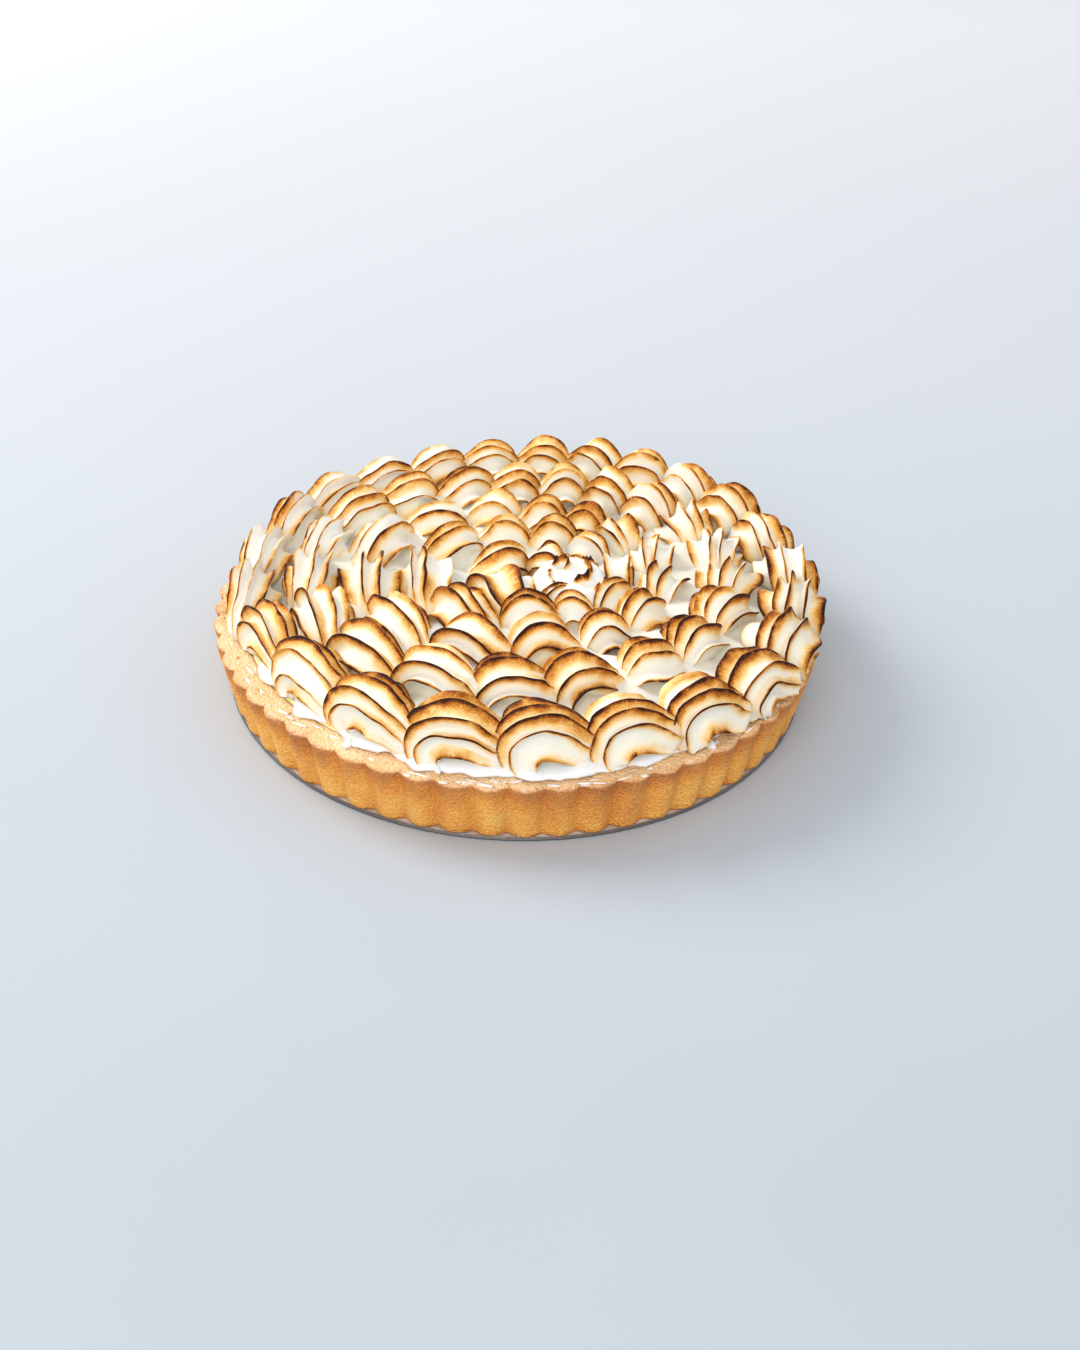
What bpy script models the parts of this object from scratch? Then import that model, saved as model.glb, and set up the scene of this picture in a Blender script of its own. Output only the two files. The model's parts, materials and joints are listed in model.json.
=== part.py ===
"""Lemon meringue tart on the loose steel base of its tin, as solids: the base, a fluted pastry case, the
lemon curd that fills it, and a top of meringue shells piped in rings.

Metres, +Z up. The origin is the middle of the steel base's underside, and -Y is the tart's front.
"""

import math
import random

import bmesh
import bpy

# The loose steel base of the tin, a flat disc with a rolled edge.
TIN_RADIUS = 0.1250
TIN_THICKNESS = 0.0012
TIN_ROLL = 0.0018
TIN_STEPS = 72

# The pastry case. Its wall flares outwards and is pressed into round flutes.
CASE_HEIGHT = 0.0285
CASE_FOOT_RADIUS = 0.1216
CASE_RIM_RADIUS = 0.1312
CASE_WALL = 0.0132
CASE_FLOOR = 0.0045
CASE_EDGE = 0.0014
FLUTES = 60
FLUTE_DEPTH = 0.0034
STEPS_PER_FLUTE = 4

# The curd stops a little short of the rim. Touching pieces keep this gap.
GAP = 0.0003
CURD_BELOW_RIM = 0.0014
CURD_STEPS = 60

# The meringue stands on the curd and spreads over the rim, further on the right than on the left.
CREST_HEIGHT = 0.0562
VALLEY_HEIGHT = 0.0360
BACK_LEFT_DROP = 0.0035
LIP_RADIUS = 0.1196
LIP_SWING = 0.0036
OVERHANG = 0.0152

# The shells are piped in rings round a point right of the middle. A ring's radius swings as it goes round:
# the mean, then how much it gains towards the right, towards the back, and towards both sides.
PIPING_CENTRE = (0.0100, 0.0040)
RINGS = (
    {"radius": (0.1150, -0.0088, -0.0044, 0.0019), "shells": 24, "start": 262.0},
    {"radius": (0.0853, -0.0106, 0.0019, 0.0047), "shells": 20, "start": 252.0},
    {"radius": (0.0564, -0.0134, 0.0019, 0.0058), "shells": 14, "start": 255.0},
    {"radius": (0.0370, -0.0090, 0.0045, 0.0050), "shells": 10, "start": 240.0},
    {"radius": (0.0165, -0.0050, 0.0000, 0.0000), "shells": 5, "start": 250.0},
)

# The nozzle's teeth leave fins along each shell, as angles over its section, with a groove between each two.
# The outer ring has one more at its foot.
FIN_ANGLES = (166.0, 128.0, 90.0, 52.0, 14.0)
FOOT_ANGLE = -16.0
GROOVE_DEPTH = 0.26

# A shell's size along its length, from the foot of its nose to the tail that the next shell covers.
STATIONS = (0.0, 0.15, 0.42, 0.76)
STATION_SIZES = (0.50, 0.90, 1.0, 0.76)
# Shells at the front are longer than those at the back, by this share of the mean.
FRONT_STRETCH = 0.14

# Piped by hand, no two shells are alike: how far their size and their distance from the middle vary.
UNEVEN_SIZE = 0.07
UNEVEN_RADIUS = 0.0012
SEED = 11


def case_bottom():
    return TIN_THICKNESS + GAP


def rim_height():
    return case_bottom() + CASE_HEIGHT


def curd_height():
    return rim_height() - CURD_BELOW_RIM


def clear_scene():
    for old in list(bpy.data.objects):
        bpy.data.objects.remove(old, do_unlink=True)


def part_collection():
    collection = bpy.data.collections.new("lemon_meringue_tart")
    bpy.context.scene.collection.children.link(collection)
    return collection


def finish(name, color, roughness, metallic=0.0):
    """A plain material of one colour."""
    material = bpy.data.materials.new(name)
    material.use_nodes = True
    shader = material.node_tree.nodes["Principled BSDF"]
    shader.inputs["Base Color"].default_value = (*color, 1.0)
    shader.inputs["Roughness"].default_value = roughness
    shader.inputs["Metallic"].default_value = metallic
    return material


def add_object(name, mesh, material, collection):
    made = bpy.data.objects.new(name, mesh)
    mesh.materials.append(material)
    collection.objects.link(made)
    return made


def turned(name, profile, steps):
    """A mesh turned about Z from a profile of (radius, height) points that runs from axis to axis."""
    wire = bpy.data.meshes.new(name + "_profile")
    points = [(radius, 0.0, height) for radius, height in profile]
    wire.from_pydata(points, [(i, i + 1) for i in range(len(points) - 1)], [])
    source = bpy.data.objects.new(name + "_profile", wire)
    bpy.context.scene.collection.objects.link(source)
    screw = source.modifiers.new("turn", "SCREW")
    screw.steps = screw.render_steps = steps
    screw.use_merge_vertices = True
    screw.merge_threshold = 0.00001
    graph = bpy.context.evaluated_depsgraph_get()
    mesh = bpy.data.meshes.new_from_object(source.evaluated_get(graph))
    mesh.name = name
    bpy.data.objects.remove(source)
    return mesh


def shade_round(mesh, corner=math.radians(40)):
    mesh.shade_smooth()
    mesh.set_sharp_from_angle(angle=corner)


def make_tin_base(collection):
    """The loose base: a steel disc whose edge is rolled up into a thin bead."""
    bead = TIN_THICKNESS + 0.4 * TIN_ROLL
    profile = [
        (0.0, TIN_THICKNESS),
        (TIN_RADIUS - TIN_ROLL, TIN_THICKNESS),
        (TIN_RADIUS - 0.5 * TIN_ROLL, bead),
        (TIN_RADIUS, 0.5 * bead),
        (TIN_RADIUS - 0.3 * TIN_ROLL, 0.0),
        (0.0, 0.0),
    ]
    mesh = turned("tin_base", profile, TIN_STEPS)
    shade_round(mesh)
    steel = finish("dark_tin_steel", (0.42, 0.39, 0.36), 0.35, 0.9)
    return add_object("tin_base", mesh, steel, collection)


def flute_inset(angle):
    """How far the wall is pressed in at an angle: none on a flute's back, most in the groove between two."""
    return FLUTE_DEPTH * (1.0 - abs(math.sin(0.5 * FLUTES * angle)) ** 0.8)


def make_crust(collection):
    """The pastry case: a turned dish whose outer wall is then pressed into flutes."""
    low, high = case_bottom(), rim_height()
    inner_rim = CASE_RIM_RADIUS - CASE_WALL
    inner_foot = CASE_FOOT_RADIUS - CASE_WALL
    profile = [
        (0.0, low + CASE_FLOOR),
        (inner_foot, low + CASE_FLOOR),
        (inner_rim, high),
        (CASE_RIM_RADIUS - CASE_EDGE, high),
        (CASE_RIM_RADIUS, high - CASE_EDGE),
        (CASE_FOOT_RADIUS, low),
        (0.0, low),
    ]
    mesh = turned("crust", profile, FLUTES * STEPS_PER_FLUTE)
    wall_start = inner_rim + 0.5 * CASE_WALL
    foot_start = CASE_FOOT_RADIUS - 2.0 * CASE_EDGE
    for vertex in mesh.vertices:
        x, y, z = vertex.co
        radius = math.hypot(x, y)
        outer = radius > (wall_start if z > high - 2.0 * CASE_EDGE else foot_start)
        if outer:
            pressed = radius - flute_inset(math.atan2(y, x))
            vertex.co.x *= pressed / radius
            vertex.co.y *= pressed / radius
    shade_round(mesh, math.radians(60))
    pastry = finish("baked_pastry", (0.72, 0.42, 0.16), 0.75)
    return add_object("crust", mesh, pastry, collection)


def make_curd(collection):
    """The lemon curd: it fills the case nearly to the rim, and stands on its floor."""
    low = case_bottom() + CASE_FLOOR + GAP
    high = curd_height()
    slope = (CASE_RIM_RADIUS - CASE_FOOT_RADIUS) / (CASE_HEIGHT - CASE_FLOOR)
    foot = CASE_FOOT_RADIUS - CASE_WALL - 1.5 * GAP
    profile = [
        (0.0, high),
        (foot + slope * (high - low), high),
        (foot, low),
        (0.0, low),
    ]
    mesh = turned("lemon_curd", profile, CURD_STEPS)
    shade_round(mesh)
    curd = finish("lemon_curd", (0.93, 0.80, 0.38), 0.35)
    return add_object("lemon_curd", mesh, curd, collection)


def stretched(turn):
    """A share of the way round a ring made an angle, with longer steps at the front, at 270 degrees."""
    angle = math.tau * turn
    return angle + FRONT_STRETCH * math.cos(angle)


def swung(ring, around):
    """The radius of a ring's crest at an angle round the piping's centre."""
    mean, right, back, sides = ring["radius"]
    return mean + right * math.cos(around) + back * math.sin(around) + sides * math.cos(2.0 * around)


def half_width(number, around, outer):
    """How far a ring's shells reach from their crest: halfway to the next ring, or over the rim."""
    here = swung(RINGS[number], around)
    if outer:
        return OVERHANG if number == 0 else 0.5 * (swung(RINGS[number - 1], around) - here)
    last = number == len(RINGS) - 1
    return 0.7 * here if last else 0.5 * (here - swung(RINGS[number + 1], around))


def crest_height(around):
    """The shells sink a little at the back left."""
    return CREST_HEIGHT - BACK_LEFT_DROP * max(0.0, math.cos(around - math.radians(105.0))) ** 3


def unevenness(number, shell):
    """A shell's own size and its shift from the ring's line, the same in every row."""
    chance = random.Random(SEED + 100 * number + shell)
    return 1.0 + chance.uniform(-UNEVEN_SIZE, 0.4 * UNEVEN_SIZE), chance.uniform(-1.0, 1.0) * UNEVEN_RADIUS


def section_row(number, angle, depth):
    """One line of points along all of a ring's shells, at an angle over their section."""
    ring = RINGS[number]
    over = math.radians(angle)
    row = []
    for shell in range(ring["shells"]):
        own_size, own_shift = unevenness(number, shell)
        for station, size in zip(STATIONS, STATION_SIZES):
            around = stretched(ring["start"] / 360.0 + (shell + station) / ring["shells"])
            reach = own_size * size * (1.0 - depth)
            wide = half_width(number, around, math.cos(over) > 0.0)
            out = swung(ring, around) + own_shift + wide * math.cos(over) * (0.35 + 0.65 * reach)
            rise = crest_height(around) - VALLEY_HEIGHT
            height = VALLEY_HEIGHT + rise * math.sin(over) * reach
            x = PIPING_CENTRE[0] + out * math.cos(around)
            y = PIPING_CENTRE[1] + out * math.sin(around)
            row.append((x, y, height))
    return row


def lip_row(inset, height):
    """A ring of points under the meringue's edge, which reaches furthest at the right."""
    shells = RINGS[0]["shells"]
    row = []
    for shell in range(shells):
        for station in STATIONS:
            around = stretched(RINGS[0]["start"] / 360.0 + (shell + station) / shells)
            radius = LIP_RADIUS + LIP_SWING * math.cos(around - math.radians(20.0))
            if inset:
                radius = min(radius, CASE_RIM_RADIUS - CASE_WALL) - inset
            row.append((radius * math.cos(around), radius * math.sin(around), height))
    return row


def ring_rows(number):
    """A ring's lines of points from its inner side to its outer: fin, groove, fin and so on."""
    rows = []
    for i, angle in enumerate(FIN_ANGLES):
        if i:
            rows.append(section_row(number, 0.5 * (FIN_ANGLES[i - 1] + angle), GROOVE_DEPTH))
        rows.append(section_row(number, angle, 0.0))
    return rows


def add_loop(mesh, points):
    verts = [mesh.verts.new(p) for p in points]
    return verts, [mesh.edges.new((verts[i - 1], verts[i])) for i in range(len(verts))]


def make_meringue(collection):
    """The piped top: a skin lofted over the fins and grooves of every ring, closed below by a flat foot."""
    mesh = bmesh.new()
    rows = [
        lip_row(0.0016, curd_height() + GAP),
        lip_row(0.0012, rim_height() + GAP),
        lip_row(0.0, rim_height() + GAP),
    ]
    rows.append(section_row(0, FOOT_ANGLE, 0.0))
    for number in range(len(RINGS)):
        rows.extend(reversed(ring_rows(number)))
    previous, before = None, None
    for row in rows:
        verts, edges = add_loop(mesh, row)
        if previous is None:
            mesh.faces.new(verts[::-1])
        elif len(before) == len(verts):
            for i in range(len(verts)):
                mesh.faces.new((before[i - 1], before[i], verts[i], verts[i - 1]))
        else:
            bmesh.ops.bridge_loops(mesh, edges=previous + edges)
        previous, before = edges, verts
    mesh.faces.new(before)
    bmesh.ops.recalc_face_normals(mesh, faces=mesh.faces)
    bmesh.ops.triangulate(mesh, faces=mesh.faces)
    made = bpy.data.meshes.new("meringue")
    mesh.to_mesh(made)
    mesh.free()
    shade_round(made)
    toasted = finish("toasted_meringue", (0.95, 0.87, 0.70), 0.6)
    return add_object("meringue", made, toasted, collection)


def main():
    clear_scene()
    collection = part_collection()
    make_tin_base(collection)
    make_crust(collection)
    make_curd(collection)
    make_meringue(collection)


main()
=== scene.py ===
"""A lemon meringue tart on the loose base of its tin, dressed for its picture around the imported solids."""

import json
import math

import bpy
import numpy as np
from mathutils import Matrix, Vector, noise
from mathutils.bvhtree import BVHTree

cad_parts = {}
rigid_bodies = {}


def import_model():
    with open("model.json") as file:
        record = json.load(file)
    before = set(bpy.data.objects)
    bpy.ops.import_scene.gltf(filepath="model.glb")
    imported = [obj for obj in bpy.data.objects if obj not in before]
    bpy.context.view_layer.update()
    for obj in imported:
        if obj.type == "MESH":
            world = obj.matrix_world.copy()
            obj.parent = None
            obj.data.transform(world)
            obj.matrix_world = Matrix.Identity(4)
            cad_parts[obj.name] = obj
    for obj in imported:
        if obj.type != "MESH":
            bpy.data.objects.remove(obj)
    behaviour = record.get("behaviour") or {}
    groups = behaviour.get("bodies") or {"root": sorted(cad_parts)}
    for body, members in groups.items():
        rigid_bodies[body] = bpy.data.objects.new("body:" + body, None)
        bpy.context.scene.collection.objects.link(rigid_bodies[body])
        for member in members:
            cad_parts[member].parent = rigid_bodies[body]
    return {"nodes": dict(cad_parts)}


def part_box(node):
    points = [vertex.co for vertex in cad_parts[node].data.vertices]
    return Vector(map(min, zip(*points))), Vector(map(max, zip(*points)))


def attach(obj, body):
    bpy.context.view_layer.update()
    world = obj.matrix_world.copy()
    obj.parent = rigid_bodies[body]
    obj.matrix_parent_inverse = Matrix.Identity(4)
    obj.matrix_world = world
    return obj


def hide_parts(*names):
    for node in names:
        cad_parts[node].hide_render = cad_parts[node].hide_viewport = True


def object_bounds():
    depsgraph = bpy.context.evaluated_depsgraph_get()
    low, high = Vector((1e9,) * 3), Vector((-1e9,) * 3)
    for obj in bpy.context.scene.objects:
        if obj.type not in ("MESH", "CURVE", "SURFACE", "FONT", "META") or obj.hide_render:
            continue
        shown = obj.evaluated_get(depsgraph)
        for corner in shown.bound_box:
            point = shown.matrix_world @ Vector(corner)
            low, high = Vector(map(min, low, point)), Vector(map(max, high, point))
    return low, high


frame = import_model()
cad_low, cad_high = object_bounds()


# ---- The tin's loose base ----
# A disc of tin-plated steel with a rolled edge. Years of ovens have dulled its plating to a pale brown-grey,
# and its outermost edge is painted dark as painted shade. It stays as the solid, and only its finish is made
# here.

# How far inside the edge the painted shade begins, and how far inside it is full.
TIN_EDGE_SHADE_STARTS = 0.0014
TIN_EDGE_SHADE_FULL = 0.0008


def new_finish(name):
    """A material, its node tree and its shader."""
    finish = bpy.data.materials.new(name)
    finish.use_nodes = True
    return finish, finish.node_tree, finish.node_tree.nodes["Principled BSDF"]


def place(tree, kind, inputs=None, **settings):
    """A node with its settings, and with its inputs linked to sockets or set to values."""
    node = tree.nodes.new(kind)
    for key, value in settings.items():
        setattr(node, key, value)
    for key, value in (inputs or {}).items():
        if isinstance(value, bpy.types.NodeSocket):
            tree.links.new(value, node.inputs[key])
        else:
            node.inputs[key].default_value = value
    return node


def ramp(tree, factor, stops):
    """A colour ramp over (position, colour) stops."""
    node = place(tree, "ShaderNodeValToRGB", {"Fac": factor})
    elements = node.color_ramp.elements
    while len(elements) < len(stops):
        elements.new(0.5)
    for element, (position, colour) in zip(elements, stops):
        element.position = position
        element.color = (*colour, 1.0)
    return node


def blotches(tree, scale, detail=3.0, stretch=(1.0, 1.0, 1.0), roughness=0.5):
    """Noise on the piece's own coordinates."""
    where = place(tree, "ShaderNodeTexCoord")
    spread = place(tree, "ShaderNodeMapping", {"Vector": where.outputs["Object"], "Scale": stretch})
    return place(tree, "ShaderNodeTexNoise", {
        "Vector": spread.outputs["Vector"], "Scale": scale, "Detail": detail, "Roughness": roughness})


def mixed(tree, factor, first, second, blend="MIX"):
    """Two colours mixed by a factor."""
    node = place(tree, "ShaderNodeMix", data_type="RGBA", blend_type=blend)
    for socket, value in ((node.inputs[0], factor), (node.inputs[6], first), (node.inputs[7], second)):
        if isinstance(value, bpy.types.NodeSocket):
            tree.links.new(value, socket)
        else:
            socket.default_value = value
    return node.outputs[2]


def graded(tree, factor, *stops):
    """A factor graded over (position, value) stops."""
    return ramp(tree, factor, [(position, (value,) * 3) for position, value in stops]).outputs["Color"]


def feed(tree, shader, colour, roughness, height, depth):
    """Feeds a shader its colour, its roughness, and a bump of some depth from a height."""
    bump = place(tree, "ShaderNodeBump", {"Height": height, "Distance": depth})
    tree.links.new(colour, shader.inputs["Base Color"])
    tree.links.new(roughness, shader.inputs["Roughness"])
    tree.links.new(bump.outputs["Normal"], shader.inputs["Normal"])


tin_base = frame["nodes"]["tin_base"]
tin_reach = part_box("tin_base")[1].x
tin_finish, tree, shader = new_finish("dark_tin_steel")
stains = blotches(tree, 60.0, 5.0)
scuffs = blotches(tree, 900.0, 2.0, (1.0, 0.15, 1.0))
tin_colour = ramp(tree, stains.outputs["Fac"], [(0.35, (0.70, 0.66, 0.61)), (0.62, (0.82, 0.78, 0.73))])
across_tin = place(tree, "ShaderNodeTexCoord")
flat_tin = place(tree, "ShaderNodeVectorMath", {0: across_tin.outputs["Object"], 1: (1.0, 1.0, 0.0)},
                 operation="MULTIPLY")
from_middle = place(tree, "ShaderNodeVectorMath", {0: flat_tin.outputs["Vector"]}, operation="LENGTH")
# Painted shade: the disc's outermost edge is darkened to near-black.
edge_shade = place(tree, "ShaderNodeMapRange", {
    "Value": from_middle.outputs["Value"], "From Min": tin_reach - TIN_EDGE_SHADE_STARTS,
    "From Max": tin_reach - TIN_EDGE_SHADE_FULL})
tin_with_edge_shade = mixed(tree, edge_shade.outputs["Result"], tin_colour.outputs["Color"], (0.10, 0.080, 0.070, 1.0))
tin_gloss = graded(tree, scuffs.outputs["Fac"], (0.3, 0.34), (0.7, 0.52))
feed(tree, shader, tin_with_edge_shade, tin_gloss, scuffs.outputs["Fac"], 0.00008)
shader.inputs["Metallic"].default_value = 0.35
tin_base.data.materials.clear()
tin_base.data.materials.append(tin_finish)


# ---- The pastry case ----
# Sweet shortcrust pressed into a fluted tin and baked blind. The wall takes the tin's flutes, with a round
# back and a tight groove between each two. The rim was trimmed by knife, and baked darker and uneven.

CASE_FLUTES = 56
CASE_POINTS_PER_FLUTE = 16
CASE_FLUTE_DEPTH = 0.0034
CASE_WALL = 0.0132
CASE_FLOOR = 0.0045
CASE_LEAN = 0.0063
CASE_UNEVEN = 0.0005

case_low, case_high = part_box("crust")
case_bottom, case_top = case_low.z, case_high.z
case_rim_radius = case_high.x + 0.0002
case_foot_radius = case_rim_radius - CASE_LEAN


def grid_mesh(name, rows):
    """A closed skin over rows of points that each go once round. The end rows close to their middles."""
    points = np.concatenate(rows)
    count = len(rows[0])
    faces = []
    for r in range(len(rows) - 1):
        a, b = r * count, (r + 1) * count
        for i in range(count):
            j = (i + 1) % count
            faces.append((a + i, a + j, b + j, b + i))
    first, last = len(points), len(points) + 1
    points = np.concatenate([points, [rows[0].mean(axis=0), rows[-1].mean(axis=0)]])
    top = (len(rows) - 1) * count
    for i in range(count):
        j = (i + 1) % count
        faces.append((first, j, i))
        faces.append((last, top + i, top + j))
    mesh = bpy.data.meshes.new(name)
    mesh.from_pydata(points.tolist(), [], faces)
    mesh.shade_smooth()
    return mesh


def show(name, mesh, finish):
    """An object for a mesh, with its finish."""
    made = bpy.data.objects.new(name, mesh)
    mesh.materials.clear()
    mesh.materials.append(finish)
    bpy.context.scene.collection.objects.link(made)
    return made


def rough(points, scale, seed):
    """Smooth noise at points, from about -1 to 1."""
    shift = Vector((seed * 7.31, seed * 3.77, seed * 5.13))
    return np.array([noise.noise(Vector(p) * scale + shift) for p in points])


def turn_round(steps):
    """The angles of a ring's points, and the points of the ring at a radius of 1."""
    turn = np.arange(steps) / steps * math.tau
    return turn, np.stack([np.cos(turn), np.sin(turn), np.zeros(steps)], axis=1)


case_round, case_ring = turn_round(CASE_FLUTES * CASE_POINTS_PER_FLUTE)
flute_pressed = 1.0 - (np.sin(0.5 * CASE_FLUTES * case_round) ** 2 + 0.004) ** 0.5
case_bent = case_round + 0.006 * rough(case_ring, 14.0, 21)
flute_depth = CASE_FLUTE_DEPTH * (1.0 + 0.25 * rough(case_ring, 9.0, 22))
inner_rim = case_rim_radius - CASE_WALL
inner_foot = case_foot_radius - CASE_WALL

# Each line of the profile: its radius, its height, and how much of the flutes' depth it takes.
case_profile = [(0.4 * inner_foot, case_bottom, 0.0), (case_foot_radius - 0.006, case_bottom, 0.0)]
case_profile += [(case_foot_radius - 0.0006, case_bottom + 0.0002, 0.9)]
for step in np.linspace(0.04, 0.93, 14):
    case_profile.append((
        case_foot_radius + (case_rim_radius - case_foot_radius) * step,
        case_bottom + (case_top - case_bottom) * step,
        1.0 - 0.12 * max(0.0, (step - 0.72) / 0.21) ** 1.5))
for share, drop, flutes in (
    (0.02, 0.0012, 0.84), (0.08, 0.0004, 0.70), (0.18, 0.0, 0.50), (0.30, 0.0002, 0.30), (0.45, 0.0005, 0.14),
    (0.60, 0.0006, 0.05), (0.75, 0.0005, 0.0), (0.90, 0.0006, 0.0), (1.0, 0.0012, 0.0),
):
    case_profile.append((case_rim_radius - CASE_WALL * share, case_top - drop, flutes))
case_profile += [
    (inner_foot + 0.5 * (inner_rim - inner_foot), 0.5 * (case_top + case_bottom + CASE_FLOOR), 0.0),
    (inner_foot, case_bottom + CASE_FLOOR, 0.0),
    (0.4 * inner_foot, case_bottom + CASE_FLOOR, 0.0),
]
case_rows = []
for radius, height, flutes in case_profile:
    r = radius - flute_depth * flutes * flute_pressed
    row = np.stack([r * np.cos(case_bent), r * np.sin(case_bent), np.full(len(r), height)], axis=1)
    if radius > inner_rim - 0.001 and height > case_bottom + 0.001:
        slow = rough(row, 90.0, 1) * 0.5 + rough(row, 380.0, 2) * 0.5 + rough(row, 900.0, 23) * 0.35
        out = row[:, :2] / r[:, None]
        row[:, :2] += out * (slow * CASE_UNEVEN)[:, None] - out * 0.0002
        on_top = np.clip((height - case_top + 0.0020) / 0.0015, 0.0, 1.0)
        row[:, 2] += on_top * (0.0008 * rough(row, 120.0, 3) + 0.0006 * rough(row, 420.0, 4) - 0.0005)
    case_rows.append(row)
case_mesh = grid_mesh("pastry_case", case_rows)

# How far each point of the pastry is browned: most under the rim, and more over the top than down the wall.
case_browned, case_trim = [], []
for row, (radius, height, flutes) in zip(case_rows, case_profile):
    up = (height - case_bottom) / (case_top - case_bottom)
    wall = 0.12 + 0.42 * np.clip((up - 0.45) / 0.45, 0.0, 1.0) ** 1.3
    wall += 0.16 * np.clip((0.12 - up) / 0.12, 0.0, 1.0)
    trim = np.clip((height - case_top + 0.0022) / 0.0014, 0.0, 1.0)
    over = 0.34 + 0.30 * math.exp(-(((case_rim_radius - radius) / 0.0022) ** 2))
    case_browned.append((wall + 0.10 * (1.0 - flute_pressed)) * (1.0 - trim) + over * trim)
    case_trim.append(np.full(len(row), trim * min(1.0, (case_rim_radius - radius) / 0.0012 + 0.35)))
case_browned = np.concatenate(case_browned + [np.zeros(2)])
case_trim = np.concatenate(case_trim + [np.zeros(2)])
case_hollow = np.concatenate([flute_pressed * flutes for _, _, flutes in case_profile] + [np.zeros(2)])


def measure(mesh, name, values):
    """A named number at each point of a mesh, for its material to read."""
    mesh.attributes.new(name, "FLOAT", "POINT").data.foreach_set("value", np.asarray(values, np.float32))


measure(case_mesh, "browned", case_browned)
measure(case_mesh, "hollow", case_hollow)
measure(case_mesh, "trimmed", case_trim)

# The baked crumb's grain, which the case and its crumbs share: sandy bumps and pale and dark grains.
grain_group = bpy.data.node_groups.new("baked_grain", "ShaderNodeTree")
for label, way in (("Scale", "INPUT"), ("Grain", "OUTPUT"), ("Height", "OUTPUT")):
    grain_group.interface.new_socket(label, in_out=way, socket_type="NodeSocketFloat")
group_in = place(grain_group, "NodeGroupInput")
group_out = place(grain_group, "NodeGroupOutput")
where = place(grain_group, "ShaderNodeTexCoord")
on_grain = {"Vector": where.outputs["Object"], "Scale": group_in.outputs["Scale"]}
sand = place(grain_group, "ShaderNodeTexNoise", {**on_grain, "Detail": 6.0, "Roughness": 0.65})
pores = place(grain_group, "ShaderNodeTexVoronoi", on_grain)
summed = place(grain_group, "ShaderNodeMath", {0: sand.outputs["Fac"], 1: pores.outputs["Distance"]},
               operation="ADD")
grain_group.links.new(sand.outputs["Fac"], group_out.inputs["Grain"])
grain_group.links.new(summed.outputs["Value"], group_out.inputs["Height"])


def grained(tree, scale):
    """The baked grain, placed in a material."""
    return place(tree, "ShaderNodeGroup", {"Scale": scale}, node_tree=grain_group)


pastry_finish, tree, shader = new_finish("baked_pastry")
grain = grained(tree, 900.0)
patches = blotches(tree, 45.0, 4.0)
flour = blotches(tree, 330.0, 5.0, (1.0, 1.0, 1.0), 0.62)
browned = place(tree, "ShaderNodeAttribute", attribute_name="browned")
hollow = place(tree, "ShaderNodeAttribute", attribute_name="hollow")
trimmed = place(tree, "ShaderNodeAttribute", attribute_name="trimmed")
wander = place(tree, "ShaderNodeMath", {0: patches.outputs["Fac"], 1: -0.5}, operation="ADD")
bake = place(tree, "ShaderNodeMath", {0: wander.outputs["Value"], 1: 0.8, 2: browned.outputs["Fac"]},
             operation="MULTIPLY_ADD")
speck = place(tree, "ShaderNodeMath", {0: grain.outputs["Grain"], 1: -0.5}, operation="ADD")
bake = place(tree, "ShaderNodeMath", {0: speck.outputs["Value"], 1: 0.95, 2: bake.outputs["Value"]},
             operation="MULTIPLY_ADD")
pastry_colour = ramp(tree, bake.outputs["Value"], [
    (0.0, (0.95, 0.55, 0.13)), (0.22, (0.90, 0.40, 0.065)), (0.48, (0.66, 0.24, 0.040)),
    (0.95, (0.32, 0.095, 0.022))])
groove_shade = mixed(tree, hollow.outputs["Fac"], (1.0, 1.0, 1.0, 1.0), (0.88, 0.74, 0.58, 1.0))
shaded_pastry = mixed(tree, 1.0, pastry_colour.outputs["Color"], groove_shade, "MULTIPLY")
rim_colour = ramp(tree, bake.outputs["Value"], [
    (0.1, (0.98, 0.72, 0.44)), (0.40, (0.90, 0.56, 0.27)), (0.75, (0.66, 0.31, 0.115))])
topped = mixed(tree, trimmed.outputs["Fac"], shaded_pastry, rim_colour.outputs["Color"])
bloom = graded(tree, flour.outputs["Fac"], (0.56, 0.0), (0.70, 0.62))
bloom_here = place(tree, "ShaderNodeMath", {0: bloom, 1: trimmed.outputs["Fac"]}, operation="MULTIPLY")
pastry_base = mixed(tree, bloom_here.outputs["Value"], topped, (0.88, 0.70, 0.52, 1.0))
pastry_gloss = graded(tree, grain.outputs["Grain"], (0.3, 0.62), (0.7, 0.82))
feed(tree, shader, pastry_base, pastry_gloss, grain.outputs["Height"], 0.0007)
pastry_case = show("pastry_case", case_mesh, pastry_finish)
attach(pastry_case, "root")
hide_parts("crust")


# ---- The lemon curd ----
# Curd cooked with butter and eggs, poured into the baked case and set. It wells up against the pastry at
# the left, where the meringue stops short of it, with a moist, faintly wrinkled surface.

CURD_STEPS = 240

curd_low, curd_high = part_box("lemon_curd")
curd_ring = turn_round(CURD_STEPS)[1]
curd_foot = inner_foot - 0.0008
curd_rows = []
for radius, height in (
    (0.4 * curd_foot, curd_low.z), (curd_foot, curd_low.z),
    (inner_rim - 0.0026, curd_high.z - 0.004), (inner_rim - 0.0004, curd_high.z - 0.0002),
    (inner_rim - 0.0006, curd_high.z + 0.0007), (inner_rim - 0.0016, curd_high.z + 0.0010),
    (inner_rim - 0.0032, curd_high.z + 0.0007), (inner_rim - 0.0060, curd_high.z + 0.0001),
    (inner_rim - 0.0120, curd_high.z - 0.0002), (0.5 * inner_rim, curd_high.z - 0.0004),
):
    row = curd_ring * radius
    row[:, 2] = height
    if height > curd_low.z + 0.001:
        row[:, 2] += 0.0004 * rough(row, 150.0, 6)
    curd_rows.append(row)
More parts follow.
